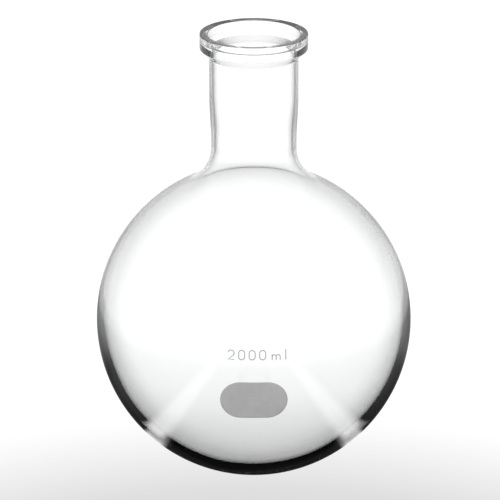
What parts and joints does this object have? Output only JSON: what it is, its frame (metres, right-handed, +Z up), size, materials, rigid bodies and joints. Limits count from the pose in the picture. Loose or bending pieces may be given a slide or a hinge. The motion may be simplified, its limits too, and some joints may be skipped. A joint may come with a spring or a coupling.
{
  "type": "round bottom flask",
  "caption": "Spherical glass flask with a short straight neck, a tooled ring around its mouth, a plain oval writing spot and a capacity mark.",
  "frame": {"origin": "lowest point of the spherical body, on the axis of the neck; this is the centre of the bottom of the bounding box", "axes": "+Z up along the axis of the neck, towards the mouth; -Y is the front, which carries the writing spot and the capacity mark; +X is to the right when the mark is read"},
  "size_m": [0.166, 0.166, 0.24],
  "materials": {
    "clear_glass": "clear blown borosilicate glass, fire polished",
    "spot_enamel": "grey enamel fired on, satin",
    "mark_enamel": "thin grey enamel fired on, satin"
  },
  "bodies": {
    "root": {"bulb": "clear_glass", "shoulder": "clear_glass", "neck": "clear_glass", "mouth_ring": "clear_glass", "marking_spot": "spot_enamel", "capacity_numerals": "mark_enamel", "capacity_unit": "mark_enamel"}
  },
  "joints": []
}
